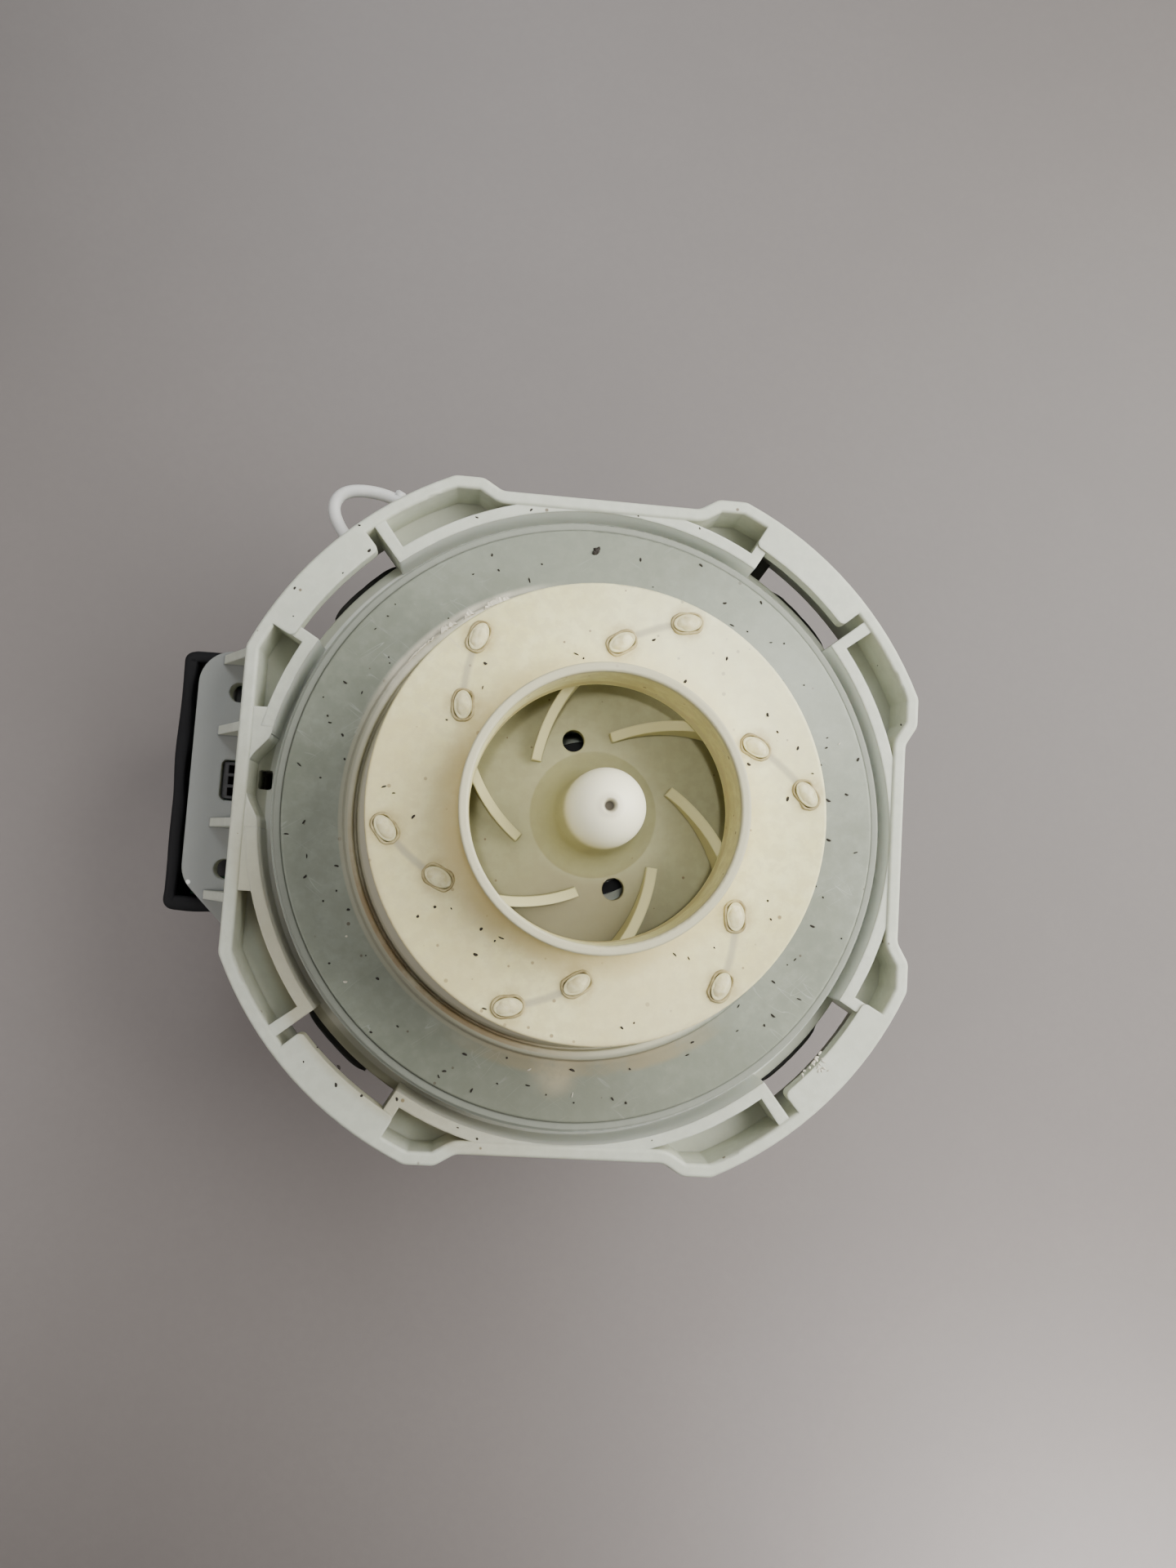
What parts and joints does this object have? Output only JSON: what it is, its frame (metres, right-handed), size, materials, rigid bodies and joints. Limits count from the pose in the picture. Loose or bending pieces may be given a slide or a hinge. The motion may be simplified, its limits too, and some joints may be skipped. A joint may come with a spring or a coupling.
{
  "type": "dishwasher circulation pump",
  "caption": "Dishwasher circulation pump without its housing: closed impeller on a shaft, cover disc, collar with bayonet windows, motor and terminal box.",
  "frame": {"origin": "on the shaft axis, at the flat rear face of the motor", "axes": "+Z along the shaft from the motor to the impeller's inlet; -X towards the terminal plate and the terminal box"},
  "size_m": [0.1171, 0.104, 0.1027],
  "materials": {
    "bracket_plastic": "satin moulded, slightly aged",
    "clip_plastic": "satin moulded",
    "cover_plastic": "satin moulded with a fine turned grain",
    "seal_ring_rubber": "matt, pale",
    "black_rubber": "matt",
    "ceramic": "lapped ceramic",
    "bearing_steel": "ground",
    "spring_steel": "bright drawn",
    "lamination_steel": "stacked sheet, varnished",
    "insulator_plastic": "moulded",
    "copper_wire": "enamelled wire",
    "black_plastic": "moulded, fine grain",
    "box_plastic": "moulded, fine grain",
    "screw_steel": "zinc plated",
    "circuit_board": "solder resist",
    "capacitor_can": "sleeved can",
    "module_plastic": "moulded resin",
    "connector_plastic": "moulded, dark brown black",
    "contact_brass": "tinned brass",
    "impeller_plastic": "moulded, aged by hot water",
    "shroud_plastic": "moulded, aged cream with dark specks",
    "shaft_steel": "ground",
    "magnet": "sintered, dark",
    "carbon": "lapped carbon",
    "cage_plastic": "moulded"
  },
  "bodies": {
    "housing": {"front_bracket": "bracket_plastic", "cable_clip": "clip_plastic", "pump_cover": "cover_plastic", "cover_seal_ring": "seal_ring_rubber", "seal_seat_cup": "black_rubber", "seal_seat": "ceramic", "front_bearing_outer_race": "bearing_steel", "rear_bearing_outer_race": "bearing_steel", "bearing_spring_washer": "spring_steel", "stator_core": "lamination_steel", "stator_insulators": "insulator_plastic", "stator_coils": "copper_wire", "motor_housing": "black_plastic", "rear_cover": "black_plastic", "rear_cover_screws": "screw_steel", "bracket_screws": "screw_steel", "box_screws": "screw_steel", "terminal_box": "box_plastic", "box_gasket": "black_rubber", "control_board": "circuit_board", "board_capacitors": "capacitor_can", "power_module": "module_plastic", "connector_header": "connector_plastic", "contact_pins": "contact_brass", "phase_busbars": "contact_brass", "busbar_guide": "insulator_plastic"},
    "rotor": {"impeller_back_plate": "impeller_plastic", "impeller_shroud": "shroud_plastic", "motor_shaft": "shaft_steel", "rear_circlip": "spring_steel", "front_bearing_inner_race": "bearing_steel", "rear_bearing_inner_race": "bearing_steel", "rotor_core": "lamination_steel", "rotor_magnets": "magnet", "rotor_sleeve": "shaft_steel", "seal_face_ring": "carbon", "seal_bellows": "black_rubber", "seal_spring": "spring_steel"},
    "front_cage": {"front_bearing_cage": "cage_plastic", "front_bearing_balls": "bearing_steel"},
    "rear_cage": {"rear_bearing_cage": "cage_plastic", "rear_bearing_balls": "bearing_steel"}
  },
  "joints": [
    {"name": "rotor_spin", "type": "hinge", "parent": "housing", "child": "rotor", "pos_m": [0, 0, 0.066], "axis": [0, 0, 1], "continuous": true},
    {"name": "front_cage_spin", "type": "hinge", "parent": "housing", "child": "front_cage", "pos_m": [0, 0, 0.0593], "axis": [0, 0, 1], "continuous": true},
    {"name": "rear_cage_spin", "type": "hinge", "parent": "housing", "child": "rear_cage", "pos_m": [0, 0, 0.0117], "axis": [0, 0, 1], "continuous": true}
  ],
  "couplings": [
    {"joint": "front_cage_spin", "follows": "rotor_spin", "ratio": 0.3717},
    {"joint": "rear_cage_spin", "follows": "rotor_spin", "ratio": 0.3717}
  ]
}
